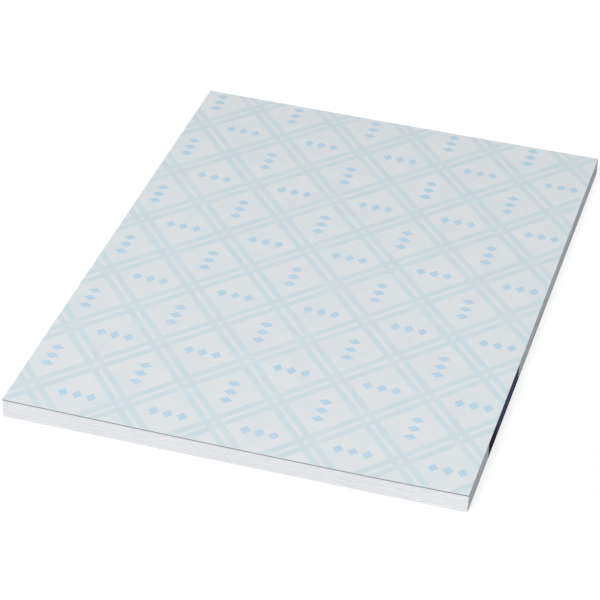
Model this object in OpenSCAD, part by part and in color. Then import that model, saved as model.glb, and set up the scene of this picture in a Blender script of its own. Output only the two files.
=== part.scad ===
// A glued desk notepad that lies with its printed card up.
// Units are millimetres. The pad rests on Z = 0 with its foot towards -Y and its glued head
// towards +Y, and the origin is under the middle of the whole pad.

/* [Sheets] */
// Width of a sheet
sheet_w = 148; // [74:1:297]
// Length of a sheet, from its foot to its glued head
sheet_l = 210; // [105:1:420]
// Thickness of one sheet, with the air that lies between loose sheets
sheet_t = 0.12; // [0.06:0.005:0.2]
// Number of sheets
sheet_count = 50; // [10:1:100]
// Most that a sheet stands back from the trimmed edges
stand_back = 0.12; // [0:0.01:0.3]
// Number of sheets that were cut together and stand back together
cut_together = 6; // [1:1:25]

/* [Card] */
// Thickness of the grey board
board_t = 0.35; // [0.2:0.05:2]
// Thickness of the printed paper that faces the board
facing_t = 0.1; // [0.06:0.01:0.2]

/* [Glue] */
// Thickness of the glue film on the head
glue_t = 0.3; // [0.1:0.05:1]
// Radius of the film's two long outer edges
glue_r = 0.2; // [0.05:0.05:0.5]

/* [Trellis print] */
// Thickness of the ink on the facing paper
ink_t = 0.02; // [0.01:0.01:0.05]
// Width of one cell of the trellis
cell_w = 29.6; // [20:0.1:60]
// Length of one cell of the trellis
cell_l = 35; // [20:0.1:70]
// Width of each printed line
line_w = 2.2; // [0.8:0.1:3]
// Bare gap between the two lines of a pair
line_gap = 1.4; // [0.4:0.1:3]
// Distance of one crossing from the middle of the sheet, across it
print_x = 6; // [-30:0.5:30]
// Distance of the same crossing from the middle of the sheet, along it
print_y = -7.5; // [-35:0.5:35]

/* [Lozenge print] */
// Number of lozenges in a row
row_count = 3; // [1:1:3]
// Width of a lozenge, along its row
lozenge_w = 3.4; // [1:0.1:4]
// Height of a lozenge, across its row
lozenge_h = 4.4; // [1:0.1:6]
// Bare gap between the lozenges of a row
lozenge_gap = 1.2; // [0.2:0.1:2]

/* [Edge print] */
// Distance from the foot to the dark print on the sheets' right edges
field_from_foot = 28; // [0:0.5:50]
// Length of the dark print
field_l = 45; // [10:1:50]
// Depth of the ink behind the sheet that stands back most
soak = 0.15; // [0.05:0.05:1]

/* [Hidden] */

foot_y = -(sheet_l + glue_t) / 2;
head_y = foot_y + sheet_l;
middle_y = foot_y + sheet_l / 2;
board_z = sheet_count * sheet_t;
facing_z = board_z + board_t;
ink_z = facing_z + facing_t;

// How far each sheet's foot, left and right edges stand back, as a share of stand_back. Half
// of the share belongs to the sheets that were cut together, and half to the sheet itself.
left_seed = 3;
right_seed = 5;
foot_seed = 8;
function shares(seed) =
    let (own = rands(0, 1, sheet_count, seed))
    let (common = rands(0, 1, sheet_count, seed + 1))
    [for (i = [0 : sheet_count - 1]) (own[i] + common[floor(i / cut_together)]) / 2];
left_back = stand_back * shares(left_seed);
right_back = stand_back * shares(right_seed);
foot_back = stand_back * shares(foot_seed);

// The trellis is two families of slanted line pairs. Each pair passes through a crossing.
line_angle = atan2(cell_l, cell_w);
line_reach = norm([sheet_w, sheet_l]) + 2 * norm([cell_w, cell_l]);
cells_out = ceil((sheet_w / 2 + sheet_l * cell_w / cell_l / 2 + abs(print_x)
    + abs(print_y) * cell_w / cell_l) / cell_w);
half_cells_x = 2 * ceil((sheet_w / 2 + abs(print_x)) / cell_w);
half_cells_y = 2 * ceil((sheet_l / 2 + abs(print_y)) / cell_l);
glue_corner_r = min(glue_r, glue_t);
glue_corner_steps = 6;

module sheet(i) {
    translate([-sheet_w / 2 + left_back[i], foot_y + foot_back[i], i * sheet_t])
        cube([sheet_w - left_back[i] - right_back[i], sheet_l - foot_back[i], sheet_t]);
}

module sheet_stack() {
    for (i = [0 : sheet_count - 1]) sheet(i);
}

module edge_field() {
    translate([sheet_w / 2 - stand_back - soak, foot_y + field_from_foot, 0])
        cube([stand_back + soak, field_l, board_z]);
}

// The card's outline, cut in one stroke with the sheets
module trimmed_outline() {
    translate([-sheet_w / 2, foot_y]) square([sheet_w, sheet_l]);
}

module line_pair(x, angle) {
    translate([x, 0]) rotate(angle)
        for (side = [-1, 1])
            translate([0, side * (line_gap + line_w) / 2])
                square([line_reach, line_w], center = true);
}

module trellis() {
    translate([print_x, middle_y + print_y])
        for (i = [-cells_out : cells_out], angle = [line_angle, -line_angle])
            line_pair(i * cell_w, angle);
}

module lozenge_row() {
    pitch = lozenge_w + lozenge_gap;
    for (i = [0 : row_count - 1])
        translate([(i - (row_count - 1) / 2) * pitch, 0])
            polygon([[-lozenge_w / 2, 0], [0, -lozenge_h / 2],
                     [lozenge_w / 2, 0], [0, lozenge_h / 2]]);
}

// One row in the middle of each cell, turned a quarter in every other line of cells
module lozenges() {
    translate([print_x, middle_y + print_y])
        for (i = [-half_cells_x : half_cells_x], j = [-half_cells_y : half_cells_y])
            if ((i + j) % 2 != 0)
                translate([i * cell_w / 2, j * cell_l / 2])
                    rotate(j % 2 == 0 ? 90 : 0) lozenge_row();
}

module printed() {
    translate([0, 0, ink_z])
        linear_extrude(ink_t)
            intersection() {
                trimmed_outline();
                children();
            }
}

// The film's section: flat on the sheets' head, and rounded along its two outer edges
module glue_section() {
    function corner(y, z, from) = [for (k = [0 : glue_corner_steps])
        let (a = from + 90 * k / glue_corner_steps)
        [y + glue_corner_r * cos(a), z + glue_corner_r * sin(a)]];
    polygon(concat([[0, ink_z], [0, 0]],
        corner(glue_t - glue_corner_r, glue_corner_r, -90),
        corner(glue_t - glue_corner_r, ink_z - glue_corner_r, 0)));
}

module sheets() {
    color([0.91, 0.90, 0.91])
        difference() {
            sheet_stack();
            edge_field();
        }
}

module grey_board() {
    color([0.55, 0.55, 0.55])
        translate([0, 0, board_z]) linear_extrude(board_t) trimmed_outline();
}

module facing_paper() {
    color([0.90, 0.91, 0.92])
        translate([0, 0, facing_z]) linear_extrude(facing_t) trimmed_outline();
}

module head_glue() {
    color([0.85, 0.85, 0.82])
        translate([-sheet_w / 2, head_y, 0])
            rotate([90, 0, 90]) linear_extrude(sheet_w) glue_section();
}

module trellis_print() {
    color([0.84, 0.89, 0.91]) printed() trellis();
}

module lozenge_print() {
    color([0.76, 0.85, 0.91]) printed() lozenges();
}

module edge_print() {
    color([0.31, 0.31, 0.43])
        intersection() {
            sheet_stack();
            edge_field();
        }
}

sheets();
grey_board();
facing_paper();
head_glue();
trellis_print();
lozenge_print();
edge_print();
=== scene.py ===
import math

import bmesh
import bpy
from mathutils import Euler, Matrix, Vector, noise


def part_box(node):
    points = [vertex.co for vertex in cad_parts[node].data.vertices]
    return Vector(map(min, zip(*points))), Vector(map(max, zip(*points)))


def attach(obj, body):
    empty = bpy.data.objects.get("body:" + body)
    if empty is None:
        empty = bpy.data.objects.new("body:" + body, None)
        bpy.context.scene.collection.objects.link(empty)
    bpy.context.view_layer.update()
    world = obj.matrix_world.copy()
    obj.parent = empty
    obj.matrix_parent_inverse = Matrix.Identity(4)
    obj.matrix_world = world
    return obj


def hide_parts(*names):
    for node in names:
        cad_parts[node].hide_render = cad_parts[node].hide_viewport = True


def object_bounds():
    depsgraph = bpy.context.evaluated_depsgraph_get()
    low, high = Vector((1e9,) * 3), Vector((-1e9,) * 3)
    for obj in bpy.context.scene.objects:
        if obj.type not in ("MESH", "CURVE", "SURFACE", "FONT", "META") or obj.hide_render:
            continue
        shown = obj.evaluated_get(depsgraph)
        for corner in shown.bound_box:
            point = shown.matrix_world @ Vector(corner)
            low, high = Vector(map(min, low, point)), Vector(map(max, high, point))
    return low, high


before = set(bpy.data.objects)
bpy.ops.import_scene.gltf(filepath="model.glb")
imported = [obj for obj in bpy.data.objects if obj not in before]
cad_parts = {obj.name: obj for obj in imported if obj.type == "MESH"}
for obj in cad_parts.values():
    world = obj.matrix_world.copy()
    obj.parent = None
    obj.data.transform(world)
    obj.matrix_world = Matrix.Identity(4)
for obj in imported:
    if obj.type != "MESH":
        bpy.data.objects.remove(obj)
cad_low, cad_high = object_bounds()

# The sheets. Fifty loose sheets of white writing paper, knocked up square to the glued head and
# trimmed on a guillotine. Away from the glue their edges stand back unevenly and air lies between
# them: the foot's corners stand higher than its middle, and its right end has fanned out a little.
# The fan itself is not built: it shows only as painted lines of shade and highlight on the cut
# edges and a painted highlight at its right end.

MM = 0.001
SHEET_COUNT = 50
CUT_TOGETHER = 6
AIR_SHARE = 0.03
CELL = 10 * MM
MOST_SET_BACK = 0.12 * MM
EDGE_WAVES_PER_METRE = 45.0
NOISE_STEP_PER_SHEET = 0.37
ON_EDGE_WITHIN = 0.5 * MM
STACK_SEED = 21
LEFT_SEED = 3
RIGHT_SEED = 5
FOOT_SEED = 8
TONE_SEED = 13
# How the loose block lies: its foot's corners are lifted, and it dips between its long edges
FOOT_LIFT = 0.13 * MM
FOOT_DIP = 0.48 * MM
HEAD_DIP = 0.20 * MM
DIP_LEANS_RIGHT = 0.5
# Painted lines of shade and highlight on the cut edges, for the gaps and ledges between groups of
# sheets, and how strong they are in a pressed and in a fanned stretch
PAINTED_LINE_PITCH = 0.78 * MM
PAINTED_LINE_LENGTH = 6 * MM
PAINTED_LINE_WANDER = 2.4
PAINTED_LINES_PRESSED = 0.28
PAINTED_LINES_FANNED = 0.66
# Where the top sheets start and end to fan out, a fan that shows only in painted lines. A lower
# sheet does so further to the right
FANNED_FROM = 10 * MM
FANNED_TO = 38 * MM
FAN_LAG = 4
# A painted highlight over the right end of the sheets, where the fanned sheets catch the light
PAINTED_HIGHLIGHT_FROM = 48 * MM
PAINTED_HIGHLIGHT_BY = 0.11
# Lightest and darkest paper; their mix gives the sheets' tones and clouds, and painted shade and
# highlight
WRITING_PAPER = (0.930, 0.920, 0.935, 1)
WRITING_PAPER_SHADE = (0.600, 0.592, 0.604, 1)
LEAST_SHADE = 0.35
MOST_SHADE = 0.41
SHEET_TONE_SHARE = 0.12
PAPER_CLOUD = 6 * MM
PAPER_TOOTH = 0.25 * MM
CUT_RELIEF = 0.012 * MM


def add(tree, kind, inputs=None, **settings):
    """A new node: its properties are set, and each named input gets a value or a link."""
    new = tree.nodes.new(kind)
    for key, value in settings.items():
        setattr(new, key, value)
    for key, value in (inputs or {}).items():
        if isinstance(key, int):
            target = new.inputs[key]
        else:
            target = next(socket for socket in new.inputs if socket.name == key and socket.enabled)
        if isinstance(value, bpy.types.NodeSocket):
            tree.links.new(value, target)
        else:
            target.default_value = value
    return new


def maths(tree, operation, a, b=0.0):
    return add(tree, "ShaderNodeMath", {0: a, 1: b}, operation=operation).outputs[0]


def spread(low, high, step):
    """Evenly spaced grid lines from low to high, about a step apart."""
    count = max(1, round((high - low) / step))
    return [low + (high - low) * i / count for i in range(count + 1)]


def made_piece(name, shape):
    """The finished shape as an object in the scene."""
    mesh = bpy.data.meshes.new(name)
    shape.to_mesh(mesh)
    shape.free()
    piece = bpy.data.objects.new(name, mesh)
    bpy.context.scene.collection.objects.link(piece)
    return piece


def plate(name, xs, ys, low, high, kept=lambda column, row: True):
    """A closed flat plate from z low to z high, over the kept cells between the grid lines."""
    shape = bmesh.new()
    corners = {}

    def corner(i, j, z):
        if (i, j, z) not in corners:
            corners[i, j, z] = shape.verts.new((xs[i], ys[j], z))
        return corners[i, j, z]

    columns, rows = range(len(xs) - 1), range(len(ys) - 1)
    cells = {(i, j) for i in columns for j in rows if kept(i, j)}
    for i, j in sorted(cells):
        ring = [(i, j), (i + 1, j), (i + 1, j + 1), (i, j + 1)]
        shape.faces.new([corner(*c, high) for c in ring])
        shape.faces.new([corner(*c, low) for c in reversed(ring)])
        for k, beside in enumerate([(i, j - 1), (i + 1, j), (i, j + 1), (i - 1, j)]):
            if beside not in cells:
                a, b = ring[k], ring[(k + 1) % 4]
                wall = [corner(*a, low), corner(*b, low), corner(*b, high), corner(*a, high)]
                shape.faces.new(wall)
    return made_piece(name, shape)


def stack_tree(name):
    """Geometry nodes that pile up copies of one sheet and let their free edges stand back."""
    tree = bpy.data.node_groups.new(name, "GeometryNodeTree")
    face = tree.interface
    face.new_socket("Sheet", in_out="INPUT", socket_type="NodeSocketGeometry")
    face.new_socket("Sheet count", in_out="INPUT", socket_type="NodeSocketInt")
    face.new_socket("Cut together", in_out="INPUT", socket_type="NodeSocketInt")
    for size in ("Pitch", "Left edge", "Right edge", "Foot edge", "Most set back", "Edge waves"):
        face.new_socket(size, in_out="INPUT", socket_type="NodeSocketFloat")
    face.new_socket("Seed", in_out="INPUT", socket_type="NodeSocketInt")
    face.new_socket("Material", in_out="INPUT", socket_type="NodeSocketMaterial")
    face.new_socket("Stack", in_out="OUTPUT", socket_type="NodeSocketGeometry")
    given = add(tree, "NodeGroupInput").outputs

    step = add(tree, "ShaderNodeCombineXYZ", {"Z": given["Pitch"]}).outputs[0]
    line = add(tree, "GeometryNodeMeshLine", {"Count": given["Sheet count"], "Offset": step})
    number = add(tree, "GeometryNodeInputIndex").outputs[0]
    numbered = add(tree, "GeometryNodeStoreNamedAttribute",
                   {"Geometry": line.outputs[0], "Name": "sheet", "Value": number})
    piled = add(tree, "GeometryNodeInstanceOnPoints",
                {"Points": numbered.outputs[0], "Instance": given["Sheet"]})
    real = add(tree, "GeometryNodeRealizeInstances", {"Geometry": piled.outputs[0]})

    sheet = add(tree, "GeometryNodeInputNamedAttribute", {"Name": "sheet"}).outputs[0]
    lift = maths(tree, "FLOOR", maths(tree, "DIVIDE", sheet, given["Cut together"]))
    place = add(tree, "GeometryNodeInputPosition").outputs[0]
    part = add(tree, "ShaderNodeSeparateXYZ", {0: place}).outputs

    def share(seed):
        """From 0 to 1 for each sheet, half of it shared by the sheets that were cut together."""
        first = maths(tree, "ADD", given["Seed"], seed)
        second = maths(tree, "ADD", given["Seed"], seed + 1)
        own = add(tree, "FunctionNodeRandomValue", {"ID": sheet, "Seed": first})
        common = add(tree, "FunctionNodeRandomValue", {"ID": lift, "Seed": second})
        return maths(tree, "MULTIPLY", maths(tree, "ADD", own.outputs[1], common.outputs[1]), 0.5)

    def set_back(axis, edge, side, seed):
        """How far a corner moves inwards if it lies on this edge, with a slow wander along it."""
        inside = maths(tree, "MULTIPLY", maths(tree, "SUBTRACT", edge, part[axis]), side)
        on_edge = maths(tree, "LESS_THAN", inside, ON_EDGE_WITHIN)
        slice_of_noise = maths(tree, "MULTIPLY", sheet, NOISE_STEP_PER_SHEET + seed)
        wander = add(tree, "ShaderNodeTexNoise",
                     {"Vector": place, "W": slice_of_noise, "Scale": given["Edge waves"],
                      "Detail": 1.0}, noise_dimensions="4D").outputs[0]
        amount = maths(tree, "MULTIPLY", share(seed), given["Most set back"])
        amount = maths(tree, "MULTIPLY", amount, maths(tree, "ADD", wander, 0.5))
        return maths(tree, "MULTIPLY", maths(tree, "MULTIPLY", amount, on_edge), -side)

    across = maths(tree, "ADD", set_back(0, given["Left edge"], -1, LEFT_SEED),
                   set_back(0, given["Right edge"], 1, RIGHT_SEED))
    along = set_back(1, given["Foot edge"], -1, FOOT_SEED)
    shift = add(tree, "ShaderNodeCombineXYZ", {"X": across, "Y": along}).outputs[0]
    moved = add(tree, "GeometryNodeSetPosition", {"Geometry": real.outputs[0], "Offset": shift})
    toned = add(tree, "GeometryNodeStoreNamedAttribute",
                {"Geometry": moved.outputs[0], "Name": "sheet_tone", "Value": share(TONE_SEED)})
    dressed = add(tree, "GeometryNodeSetMaterial",
                  {"Geometry": toned.outputs[0], "Material": given["Material"]})
    add(tree, "NodeGroupOutput", {"Stack": dressed.outputs[0]})
    return tree


def made_real(piece):
    """Turns the piece into the plain mesh that its modifiers give it."""
    graph = bpy.context.evaluated_depsgraph_get()
    mesh = bpy.data.meshes.new_from_object(
        piece.evaluated_get(graph), preserve_all_data_layers=True, depsgraph=graph)
    piece.modifiers.clear()
    piece.data = mesh


def pile_up(piece, material):
    """Stacks the piece, which is one sheet or slip, into the whole block."""
    modifier = piece.modifiers.new("pile of sheets", "NODES")
    modifier.node_group = pile
    values = {
        "Sheet count": SHEET_COUNT, "Cut together": CUT_TOGETHER, "Pitch": sheet_pitch,
        "Left edge": block_low.x, "Right edge": block_high.x, "Foot edge": block_low.y,
        "Most set back": MOST_SET_BACK, "Edge waves": EDGE_WAVES_PER_METRE, "Seed": STACK_SEED,
        "Material": material,
    }
    for socket in pile.interface.items_tree:
        if socket.name in values:
            modifier[socket.identifier] = values[socket.name]
    piece.update_tag()
    made_real(piece)


def rise(x, y):
    """How far the loose block stands above its pressed height, at a place seen from above."""
    across = 2 * x / (block_high.x - block_low.x)
    along = (y - block_low.y) / (block_high.y - block_low.y)
    bowl = (1 - across ** 2) * (1 + DIP_LEANS_RIGHT * across)
    return FOOT_LIFT * (1 - along) - (FOOT_DIP * (1 - along) + HEAD_DIP * along) * bowl


def settle(piece):
    """Lets a piece lie as the loose block does: each point moves in proportion to its height."""
    for point in piece.data.vertices:
        point.co.z *= 1 + rise(point.co.x, point.co.y) / cad_high.z


def surface(name, roughness, specular):
    """A material with the shader's own sockets set, and its tree ready for a pattern."""
    made = bpy.data.materials.new(name)
    made.use_nodes = True
    tree = made.node_tree
    tree.nodes.clear()
    shader = add(tree, "ShaderNodeBsdfPrincipled",
                 {"Roughness": roughness, "Specular IOR Level": specular})
    add(tree, "ShaderNodeOutputMaterial", {"Surface": shader.outputs[0]})
    where = add(tree, "ShaderNodeTexCoord").outputs["Object"]
    return made, tree, shader, where


def grain(tree, where, size, detail=2.0, squeeze=(1, 1, 1)):
    """Noise with features of about the given size in metres, over the squeeze on each axis."""
    seen = add(tree, "ShaderNodeMapping", {"Vector": where, "Scale": squeeze}).outputs[0]
    made = add(tree, "ShaderNodeTexNoise", {"Vector": seen, "Scale": 1 / size, "Detail": detail})
    return made.outputs[0]


def mixed(tree, share, first, second):
    """The first colour where the share is 0 and the second where it is 1."""
    made = add(tree, "ShaderNodeMix", {0: share, 6: first, 7: second}, data_type="RGBA")
    return made.outputs[2]


def between(tree, value, low, high, to_low=0.0, to_high=1.0):
    """Turns low to high into to_low to to_high, and holds what lies outside at the ends."""
    made = add(tree, "ShaderNodeMapRange",
               {"Value": value, "From Min": low, "From Max": high,
                "To Min": to_low, "To Max": to_high})
    return made.outputs[0]


def roughen(tree, shader, height, depth, strength):
    """Relief on the surface, from a height between 0 and 1 that stands for a depth in metres."""
    relief = add(tree, "ShaderNodeBump",
                 {"Height": height, "Distance": depth, "Strength": strength})
    tree.links.new(relief.outputs["Normal"], shader.inputs["Normal"])


def painted_lines_on_cut(tree, where, part):
    """Painted lines of shade and highlight along the cut edges, stronger where the sheets fan out.
    The underside has none.
    """
    lag = maths(tree, "MULTIPLY", maths(tree, "SUBTRACT", block_high.z, part[2]), FAN_LAG)
    strength = between(tree, maths(tree, "SUBTRACT", part[0], lag),
                       FANNED_FROM, FANNED_TO, PAINTED_LINES_PRESSED, PAINTED_LINES_FANNED)
    strength = maths(tree, "MULTIPLY", strength, between(tree, part[2], 0, sheet_pitch))
    wander = maths(tree, "MULTIPLY", grain(tree, where, PAINTED_LINE_LENGTH), PAINTED_LINE_WANDER)
    turns = maths(tree, "ADD", maths(tree, "DIVIDE", part[2], PAINTED_LINE_PITCH), wander)
    lines = maths(tree, "SINE", maths(tree, "MULTIPLY", turns, 2 * math.pi))
    drawn_out = PAINTED_LINE_PITCH / PAINTED_LINE_LENGTH
    patches = grain(tree, where, PAINTED_LINE_PITCH, 1.0, squeeze=(drawn_out, drawn_out, 1))
    lines = maths(tree, "MULTIPLY", lines, between(tree, patches, 0.4, 0.6, 0.0, 0.5))
    return maths(tree, "MULTIPLY", lines, strength)


def writing_paper():
    """White paper, a little different from sheet to sheet, with painted shade and highlight on its
    cut edges and at the fan's right end.
    """
    made, tree, shader, where = surface("uncoated writing paper", roughness=0.85, specular=0.2)
    part = add(tree, "ShaderNodeSeparateXYZ", {0: where}).outputs
    # Painted lines of shade and highlight on the cut edges, which also give the edges their relief
    painted_lines_and_ridges = painted_lines_on_cut(tree, where, part)
    clouds = grain(tree, where, PAPER_CLOUD, 3.0)
    clouds = between(tree, clouds, 0.35, 0.65, LEAST_SHADE, MOST_SHADE)
    tone = add(tree, "ShaderNodeAttribute", attribute_name="sheet_tone").outputs["Fac"]
    tone = maths(tree, "MULTIPLY", tone, SHEET_TONE_SHARE)
    shade = maths(tree, "ADD", tone, maths(tree, "ADD", clouds, painted_lines_and_ridges))
    # A painted highlight over the right end of the sheets, where the fanned sheets catch the light
    painted_highlight = between(tree, part[0], PAINTED_HIGHLIGHT_FROM, block_high.x, 0, PAINTED_HIGHLIGHT_BY)
    shade = maths(tree, "SUBTRACT", shade, painted_highlight)
    colour = mixed(tree, shade, WRITING_PAPER, WRITING_PAPER_SHADE)
    tree.links.new(colour, shader.inputs["Base Color"])
    tooth = grain(tree, where, PAPER_TOOTH, 3.0)
    roughen(tree, shader, maths(tree, "ADD", tooth, painted_lines_and_ridges), CUT_RELIEF, strength=0.6)
    return made


block_low, block_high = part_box("sheets")
print_low, print_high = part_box("edge_print")
sheet_pitch = (block_high.z - block_low.z) / SHEET_COUNT
sheet_top = sheet_pitch * (1 - AIR_SHARE)
sheet_columns = spread(block_low.x, print_low.x, CELL) + [block_high.x]
sheet_rows = (spread(block_low.y, print_low.y, CELL)
              + spread(print_low.y, print_high.y, CELL)[1:]
              + spread(print_high.y, block_high.y, CELL)[1:])


def under_ink(column, row):
    """Is this cell of a sheet the narrow one at the right edge that takes the dark ink?"""
    middle = (sheet_rows[row] + sheet_rows[row + 1]) / 2
    return column == len(sheet_columns) - 2 and print_low.y < middle < print_high.y


pile = stack_tree("pile of loose sheets")
loose_sheets = plate("loose_sheets", sheet_columns, sheet_rows, 0, sheet_top,
                     lambda column, row: not under_ink(column, row))
pile_up(loose_sheets, writing_paper())
settle(loose_sheets)
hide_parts("sheets")
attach(loose_sheets, "root")

# The dark print on the edge. Each sheet is printed with a dark field that runs off its right
# edge, so the cut edges show it as a band down the side of the block: almost black at the end
# towards the foot, and a deep indigo beyond.

NAVY = (0.011, 0.014, 0.034, 1)
INDIGO = (0.100, 0.098, 0.198, 1)
INDIGO_FAR = (0.098, 0.102, 0.180, 1)
# Where one tone passes into the next, as shares of the band's length from its end at the foot
NAVY_UNTIL = 0.21
INDIGO_FROM = 0.29
INDIGO_UNTIL = 0.50
INDIGO_FAR_FROM = 0.95
TONES_WANDER = 0.05
INK_PATCH = 3 * MM
BARE_PAPER = (0.815, 0.805, 0.819, 1)
BARE_FIBRES = 0.015
FIBRE = 0.4 * MM
RAGGED_ENDS = 0.7 * MM


def edge_ink():
    """Dark ink that has soaked into the cut edges. Its ends are ragged from sheet to sheet."""
    made, tree, shader, where = surface("dark ink on cut edges", roughness=0.9, specular=0.05)
    along = add(tree, "ShaderNodeSeparateXYZ", {0: where}).outputs[1]
    along = between(tree, along, print_low.y, print_high.y)
    uneven = grain(tree, where, INK_PATCH, squeeze=(1, 1, 0.1))
    place = maths(tree, "ADD", along, between(tree, uneven, 0, 1, -TONES_WANDER, TONES_WANDER))
    colour = mixed(tree, between(tree, place, NAVY_UNTIL, INDIGO_FROM), NAVY, INDIGO)
    further = between(tree, place, INDIGO_UNTIL, INDIGO_FAR_FROM)
    colour = mixed(tree, further, colour, INDIGO_FAR)
    tone = add(tree, "ShaderNodeAttribute", attribute_name="sheet_tone").outputs["Fac"]
    fibres = grain(tree, where, FIBRE, 3.0, squeeze=(1, 1, 4))
    bare = maths(tree, "MULTIPLY", maths(tree, "ADD", tone, fibres), BARE_FIBRES)
    to_end = maths(tree, "MINIMUM", along, maths(tree, "SUBTRACT", 1.0, along))
    ragged = maths(tree, "MULTIPLY", tone, RAGGED_ENDS / (print_high.y - print_low.y))
    bare = maths(tree, "MAXIMUM", bare, maths(tree, "LESS_THAN", to_end, ragged))
    colour = mixed(tree, bare, colour, BARE_PAPER)
    tree.links.new(colour, shader.inputs["Base Color"])
    roughen(tree, shader, fibres, CUT_RELIEF, strength=0.6)
    return made


dark_edge_print = plate("dark_edge_print", sheet_columns, sheet_rows, 0, sheet_top, under_ink)
pile_up(dark_edge_print, edge_ink())
settle(dark_edge_print)
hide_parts("edge_print")
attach(dark_edge_print, "root")

# The grey board. A thin board of grey pulp under the printed face, cut with the sheets in one
# stroke of the knife, so its fibrous grey edge shows as a dark line round the top of the block.

GREY_PULP = (0.215, 0.216, 0.218, 1)
GREY_PULP_LIGHT = (0.300, 0.300, 0.298, 1)
PULP_FLECK = (0.085, 0.083, 0.080, 1)
PULP_LAYER = 0.5 * MM
PULP_RELIEF = 0.03 * MM
FLECK_SIZE = 0.7 * MM
FLECK_STARTS = 0.64
FLECK_FULL = 0.70


def grey_pulp():
    """Layers of grey pulp that lie flat in the board, with a few dark flecks."""
    made, tree, shader, where = surface("grey pulp board", roughness=0.92, specular=0.25)
    layers = grain(tree, where, PULP_LAYER, 4.0, squeeze=(0.25, 0.25, 4))
    colour = mixed(tree, between(tree, layers, 0.35, 0.65), GREY_PULP, GREY_PULP_LIGHT)
    flecks = grain(tree, where, FLECK_SIZE, squeeze=(0.6, 0.6, 3))
    flecks = between(tree, flecks, FLECK_STARTS, FLECK_FULL)
    tree.links.new(mixed(tree, flecks, colour, PULP_FLECK), shader.inputs["Base Color"])
    roughen(tree, shader, layers, PULP_RELIEF, strength=0.7)
    return made


def laid_flat(name, node, material):
    """A closed plate in the place of a flat node, in cells so that it can settle on the sheets."""
    low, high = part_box(node)
    piece = plate(name, spread(low.x, high.x, CELL), spread(low.y, high.y, CELL), low.z, high.z)
    piece.data.materials.append(material)
    settle(piece)
    return piece


pulp_board = laid_flat("pulp_board", "grey_board", grey_pulp())
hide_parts("grey_board")
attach(pulp_board, "root")

# The facing paper. A pale, smooth paper pasted over the board and trimmed flush with it. It
# carries the print.

FACING_PAPER = (0.806, 0.816, 0.822, 1)
FACING_PAPER_TINT = (0.760, 0.800, 0.818, 1)
FACING_CLOUD = 8 * MM
SMOOTH_TOOTH = 0.3 * MM
SMOOTH_RELIEF = 0.008 * MM


def pale_facing():
    """Smooth pale paper with a faint cloudiness and a fine tooth."""
    made, tree, shader, where = surface("pale facing paper", roughness=0.72, specular=0.4)
    clouds = grain(tree, where, FACING_CLOUD, 4.0)
    colour = mixed(tree, between(tree, clouds, 0.38, 0.62), FACING_PAPER, FACING_PAPER_TINT)
    tree.links.new(colour, shader.inputs["Base Color"])
    tooth = grain(tree, where, SMOOTH_TOOTH, 3.0)
    roughen(tree, shader, tooth, SMOOTH_RELIEF, strength=0.5)
    return made


pasted_facing = laid_flat("pasted_facing", "facing_paper", pale_facing())
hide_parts("facing_paper")
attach(pasted_facing, "root")

# The print on the facing. Two flat inks, offset printed before the board was trimmed: a trellis
# of paired lines in a very pale blue, and rows of small lozenges in a stronger sky blue.

PALE_BLUE = (0.642, 0.750, 0.792, 1)
PALE_BLUE_THIN = (0.708, 0.780, 0.802, 1)
SKY_BLUE = (0.515, 0.690, 0.812, 1)
SKY_BLUE_THIN = (0.560, 0.712, 0.818, 1)
INK_CLOUD = 7 * MM
INK_CLOUD_SHARE = 0.7
SAME_POINT = 1e-7


def flat_ink(name, full, thin):
    """Ink that lies a little unevenly on the paper's tooth."""
    made, tree, shader, where = surface(name, roughness=0.7, specular=0.4)
    clouds = maths(tree, "MULTIPLY", grain(tree, where, INK_CLOUD, 3.0), INK_CLOUD_SHARE)
    tooth = grain(tree, where, SMOOTH_TOOTH, 3.0)
    cover = maths(tree, "ADD", clouds, maths(tree, "MULTIPLY", tooth, 1 - INK_CLOUD_SHARE))
    colour = mixed(tree, between(tree, cover, 0.35, 0.65), full, thin)
    tree.links.new(colour, shader.inputs["Base Color"])
    roughen(tree, shader, tooth, SMOOTH_RELIEF, strength=0.5)
    return made


def printed_on(name, node, ink):
    """A copy of a printed node, cut along the card's cells so that it settles with the card."""
    shape = bmesh.new()
    shape.from_mesh(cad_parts[node].data)
    bmesh.ops.remove_doubles(shape, verts=shape.verts, dist=SAME_POINT)
    low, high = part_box("facing_paper")
    for axis in (0, 1):
        across = Vector((axis == 0, axis == 1, 0))
        for line in spread(low[axis], high[axis], CELL)[1:-1]:
            everything = shape.verts[:] + shape.edges[:] + shape.faces[:]
            bmesh.ops.bisect_plane(shape, geom=everything, dist=SAME_POINT,
                                   plane_co=across * line, plane_no=across)
    piece = made_piece(name, shape)
    piece.data.materials.append(ink)
    settle(piece)
    return piece


trellis_ink = printed_on("trellis_ink", "trellis_print",
                         flat_ink("pale blue ink", PALE_BLUE, PALE_BLUE_THIN))
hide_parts("trellis_print")
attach(trellis_ink, "root")

lozenge_ink = printed_on("lozenge_ink", "lozenge_print",
                         flat_ink("sky blue ink", SKY_BLUE, SKY_BLUE_THIN))
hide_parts("lozenge_print")
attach(lozenge_ink, "root")

# The head glue. A film of white padding compound, brushed on in two coats along the head. It
# dries to a rubbery, slightly cloudy skin that follows the sheets' edges and thins out at its rim.

GLUE_STEP_ALONG = 1.5 * MM
GLUE_STEPS_UP = 22
GLUE_THIN_SHARE = 0.35
GLUE_RIM = 0.7 * MM
BRUSH_WAVE_ALONG = 9 * MM
BRUSH_WAVE_UP = 1.5 * MM
BRUSH_SEED = 3.1
SHEET_RIDGE_SHARE = 0.12
DRY_COMPOUND = (0.760, 0.745, 0.680, 1)
DRY_COMPOUND_THIN = (0.640, 0.635, 0.600, 1)
DRY_STROKE = 2.5 * MM
DRY_RELIEF = 0.05 * MM
LEAST_ROUGH = 0.3
MOST_ROUGH = 0.5

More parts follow.
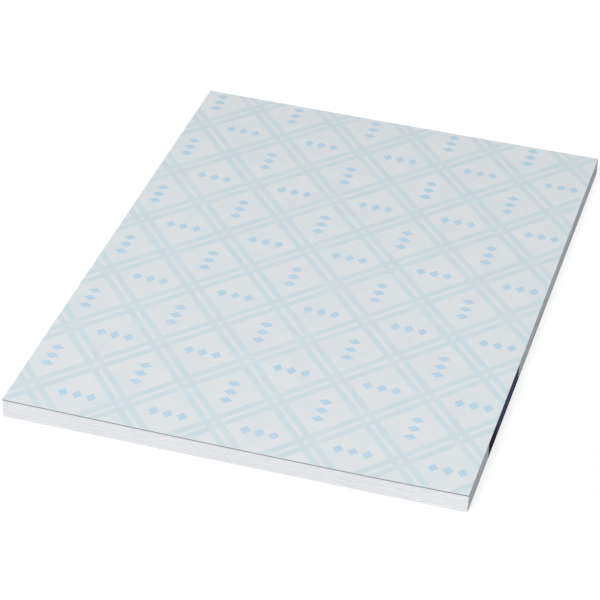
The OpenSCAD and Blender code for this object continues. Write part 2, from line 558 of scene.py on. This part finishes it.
glue_low, glue_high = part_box("head_glue")
glue_depth = glue_high.y - glue_low.y


def glue_share(x, z):
    """Thickness of the film at a place on the head, as a share of its full thickness."""
    inwards = min(x - glue_low.x, glue_high.x - x, z - glue_low.z, glue_high.z - z)
    rim = math.sqrt(max(0.0, 1 - (1 - min(inwards / GLUE_RIM, 1)) ** 2))
    brushed = noise.noise(Vector((x / BRUSH_WAVE_ALONG, z / BRUSH_WAVE_UP, BRUSH_SEED)))
    ridge = math.cos(2 * math.pi * (z - block_low.z) / sheet_pitch / CUT_TOGETHER)
    body = 1 - GLUE_THIN_SHARE * (0.5 + brushed / 2) - SHEET_RIDGE_SHARE * (1 + ridge) / 2
    return rim * body


def glue_film():
    """The film as one closed skin: flat against the sheets, and uneven on its outer side."""
    shape = bmesh.new()
    xs = spread(glue_low.x, glue_high.x, GLUE_STEP_ALONG)
    zs = spread(glue_low.z, glue_high.z, (glue_high.z - glue_low.z) / GLUE_STEPS_UP)
    outer = [[shape.verts.new((x, glue_low.y + glue_depth * glue_share(x, z), z)) for z in zs]
             for x in xs]
    inner = [[shape.verts.new((x, glue_low.y, z)) for z in zs] for x in xs]
    for i in range(len(xs) - 1):
        for k in range(len(zs) - 1):
            ring = [(i, k), (i + 1, k), (i + 1, k + 1), (i, k + 1)]
            shape.faces.new([outer[a][b] for a, b in reversed(ring)])
            shape.faces.new([inner[a][b] for a, b in ring])
    bmesh.ops.remove_doubles(shape, verts=shape.verts, dist=SAME_POINT)
    piece = made_piece("glue_film", shape)
    piece.data.shade_smooth()
    return piece


def dry_compound():
    """Cloudy white compound with the strokes of the brush in it."""
    made, tree, shader, where = surface("dry padding compound", roughness=0.38, specular=0.5)
    strokes = grain(tree, where, DRY_STROKE, 4.0, squeeze=(0.12, 1, 1))
    colour = mixed(tree, between(tree, strokes, 0.3, 0.7), DRY_COMPOUND, DRY_COMPOUND_THIN)
    tree.links.new(colour, shader.inputs["Base Color"])
    rough = between(tree, strokes, 0.3, 0.7, LEAST_ROUGH, MOST_ROUGH)
    tree.links.new(rough, shader.inputs["Roughness"])
    roughen(tree, shader, strokes, DRY_RELIEF, strength=0.5)
    return made


glue = glue_film()
glue.data.materials.append(dry_compound())
settle(glue)
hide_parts("head_glue")
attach(glue, "root")

# The studio. A white table and a white surround, one large soft light before the foot of the pad
# that falls off towards its head, and a long lens that looks down on the pad from its right.

TABLE_RADIUS = 1.6
TABLE_SIDES = 96
TABLE_DROP = 0.02 * MM
TABLE_BOUNCE = (0.600, 0.635, 0.650, 1)
TABLE_SEEN = (0.250, 0.250, 0.250, 1)
# The table glows more away from the lamp, along the pad and far out, so that it is seen as white
GLOW_FROM = -0.30
GLOW_TO = 0.50
GLOW_NEAR_LAMP = 0.755
GLOW_BEYOND = 0.85
FAR_FROM = 0.45
FAR_TO = 0.90
SURROUND = (0.300, 0.3175, 0.325, 1)
WHITE = (1, 1, 1, 1)
LAMP_AIM = (0.0, -0.105, 0.0)
LAMP_PLACE = (-0.276, -1.577, 1.755)
LAMP_SIZE = 0.87
LAMP_WATTS = 44.5
CAMERA_PLACE = (0.17320, -0.69440, 0.46643)
CAMERA_TURN = (56.514, -2.271, 16.129)
CAMERA_LENS_MM = 151.83
SENSOR_MM = 36.0
NEAREST_SEEN = 10 * MM


def seen_directly(tree):
    """1 for a ray from the camera, from a glossy surface or through a clear one, and else 0."""
    path = add(tree, "ShaderNodeLightPath").outputs
    seen = maths(tree, "MAXIMUM", path["Is Camera Ray"], path["Is Glossy Ray"])
    return maths(tree, "MAXIMUM", seen, path["Is Transmission Ray"])


def white_table():
    """Just white where it is seen, but for the pad's shadow, and a pale grey for its bounce."""
    made = bpy.data.materials.new("white table")
    made.use_nodes = True
    tree = made.node_tree
    tree.nodes.clear()
    where = add(tree, "ShaderNodeTexCoord").outputs["Object"]
    along = add(tree, "ShaderNodeSeparateXYZ", {0: where}).outputs[1]
    glow = between(tree, along, GLOW_FROM, GLOW_TO, GLOW_NEAR_LAMP, GLOW_BEYOND)
    away = add(tree, "ShaderNodeVectorMath", {0: where}, operation="LENGTH").outputs["Value"]
    glow = maths(tree, "MAXIMUM", glow, between(tree, away, FAR_FROM, FAR_TO))
    lit = add(tree, "ShaderNodeBsdfDiffuse", {"Color": TABLE_SEEN}).outputs[0]
    shining = add(tree, "ShaderNodeEmission", {"Color": WHITE, "Strength": glow}).outputs[0]
    shown = add(tree, "ShaderNodeAddShader", {0: lit, 1: shining}).outputs[0]
    bounce = add(tree, "ShaderNodeBsdfDiffuse", {"Color": TABLE_BOUNCE}).outputs[0]
    both = add(tree, "ShaderNodeMixShader", {0: seen_directly(tree), 1: bounce, 2: shown})
    add(tree, "ShaderNodeOutputMaterial", {"Surface": both.outputs[0]})
    return made


def table_top():
    """A round table top, a hair below the pad."""
    shape = bmesh.new()
    bmesh.ops.create_circle(shape, cap_ends=True, segments=TABLE_SIDES, radius=TABLE_RADIUS,
                            matrix=Matrix.Translation((0, 0, -TABLE_DROP)))
    table = made_piece("table_top", shape)
    table.data.materials.append(white_table())


def surround():
    """White where it is seen, and a pale cool grey as light."""
    world = bpy.data.worlds.new("white surround")
    bpy.context.scene.world = world
    world.use_nodes = True
    tree = world.node_tree
    tree.nodes.clear()
    light = add(tree, "ShaderNodeBackground", {"Color": SURROUND}).outputs[0]
    shown = add(tree, "ShaderNodeBackground", {"Color": WHITE}).outputs[0]
    both = add(tree, "ShaderNodeMixShader", {0: seen_directly(tree), 1: light, 2: shown})
    add(tree, "ShaderNodeOutputWorld", {"Surface": both.outputs[0]})


def soft_light():
    """One round lamp, turned towards the near half of the pad."""
    lamp = bpy.data.lights.new("soft_light", "AREA")
    lamp.shape = "DISK"
    lamp.size = LAMP_SIZE
    lamp.energy = LAMP_WATTS
    holder = bpy.data.objects.new("soft_light", lamp)
    holder.location = LAMP_PLACE
    aim = Vector(LAMP_AIM) - Vector(LAMP_PLACE)
    holder.rotation_euler = aim.to_track_quat("-Z", "Y").to_euler()
    bpy.context.scene.collection.objects.link(holder)


def camera():
    """A long lens, placed by where the card's four corners lie in the photograph."""
    lens = bpy.data.cameras.new("camera")
    lens.sensor_width = SENSOR_MM
    lens.lens = CAMERA_LENS_MM
    lens.clip_start = NEAREST_SEEN
    holder = bpy.data.objects.new("camera", lens)
    holder.location = CAMERA_PLACE
    holder.rotation_euler = Euler([math.radians(turn) for turn in CAMERA_TURN])
    bpy.context.scene.collection.objects.link(holder)
    bpy.context.scene.camera = holder


table_top()
surround()
soft_light()
camera()
bpy.context.scene.view_settings.view_transform = "Standard"
